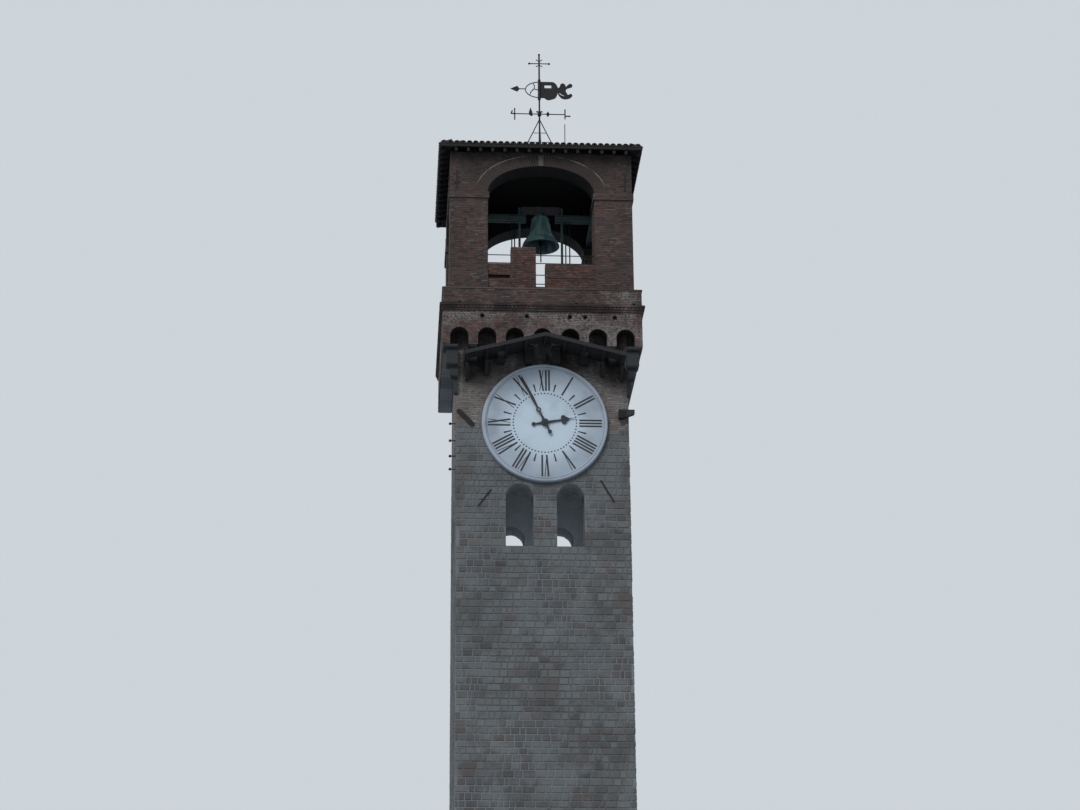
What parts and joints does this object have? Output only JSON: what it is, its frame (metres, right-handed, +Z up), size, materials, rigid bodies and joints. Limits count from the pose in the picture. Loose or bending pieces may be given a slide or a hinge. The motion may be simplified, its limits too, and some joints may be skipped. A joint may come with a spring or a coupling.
{
  "type": "half-scale clock tower",
  "caption": "Half-scale medieval brick and stone clock tower: open arched belfry with a swinging bell, corbelled gallery, hooded dial with turning hands, low hip roof and a turning wind vane.",
  "frame": {"origin": "centre of the tower's foot at ground level, on the underside of the ground floor", "axes": "+Z up the tower, -Y out of the dial's side, +X to the right of someone facing the dial"},
  "size_m": [3.49, 3.476, 24.98],
  "materials": {
    "shaft_stone": "weathered grey ashlar with brick patches",
    "brick": "old red brown brick in lime mortar",
    "pale_stone": "weathered pale stone",
    "clay_tile": "old clay barrel tiles",
    "old_timber": "dark weathered oak",
    "lead_edge": "dull sheet metal",
    "bell_bronze": "bronze with green patina",
    "dial_enamel": "pale painted dial",
    "hand_black": "black paint",
    "painted_steel": "grey green painted steel",
    "dark_iron": "dark wrought iron, light rust"
  },
  "bodies": {
    "tower": {"arch_rings": "brick", "back_arch_wall": "brick", "back_gallery_wall": "brick", "back_wall_lower": "shaft_stone", "back_wall_upper": "shaft_stone", "belfry_floor": "pale_stone", "belfry_piers": "brick", "bell_beams": "painted_steel", "bell_posts": "painted_steel", "compass_arms": "dark_iron", "corbels": "pale_stone", "cornice": "brick", "dial_face": "dial_enamel", "dial_rim": "dial_enamel", "entrance_door": "old_timber", "front_arch_wall": "brick", "front_gallery_wall": "brick", "front_wall_lower": "shaft_stone", "front_wall_upper": "shaft_stone", "ground_floor": "pale_stone", "guard_rails": "dark_iron", "hood_brackets": "old_timber", "hood_deck": "old_timber", "hood_fascia": "lead_edge", "hood_joists": "old_timber", "impost_bands": "pale_stone", "keystones": "pale_stone", "left_arch_wall": "brick", "left_gallery_wall": "brick", "left_wall_lower": "shaft_stone", "left_wall_upper": "shaft_stone", "lightning_rod": "dark_iron", "mast": "dark_iron", "mast_braces": "dark_iron", "parapets": "brick", "podium": "brick", "pull_rods": "dark_iron", "rafters": "old_timber", "right_arch_wall": "brick", "right_gallery_wall": "brick", "right_wall_lower": "shaft_stone", "right_wall_upper": "shaft_stone", "roof_deck": "clay_tile", "room_floor": "pale_stone", "stone_bracket": "pale_stone", "wall_anchors": "dark_iron", "wall_bars": "dark_iron", "wall_hooks": "dark_iron"},
    "bell_group": {"bell": "bell_bronze", "headstock": "old_timber", "headstock_straps": "dark_iron"},
    "clapper_group": {"clapper": "dark_iron"},
    "minute": {"minute_hand": "hand_black"},
    "hour": {"hour_hand": "hand_black"},
    "vane": {"wind_vane": "dark_iron"}
  },
  "joints": [
    {"name": "minute_turn", "type": "hinge", "parent": "tower", "child": "minute", "pos_m": [0.035, -1.399, 17.2], "axis": [0, 1, 0], "continuous": true},
    {"name": "hour_turn", "type": "hinge", "parent": "tower", "child": "hour", "pos_m": [0.035, -1.378, 17.2], "axis": [0, 1, 0], "continuous": true},
    {"name": "vane_turn", "type": "hinge", "parent": "tower", "child": "vane", "pos_m": [0.07, 0, 24.25], "axis": [0, 0, 1], "continuous": true},
    {"name": "bell_swing", "type": "hinge", "parent": "tower", "child": "bell_group", "pos_m": [0.075, 0, 21.7925], "axis": [1, 0, 0], "range_deg": [-45, 45]},
    {"name": "clapper_swing", "type": "hinge", "parent": "bell_group", "child": "clapper_group", "pos_m": [0.075, 0, 21.56], "axis": [1, 0, 0], "range_deg": [-25, 25]}
  ],
  "couplings": [
    {"joint": "hour_turn", "follows": "minute_turn", "ratio": 0.083333}
  ]
}
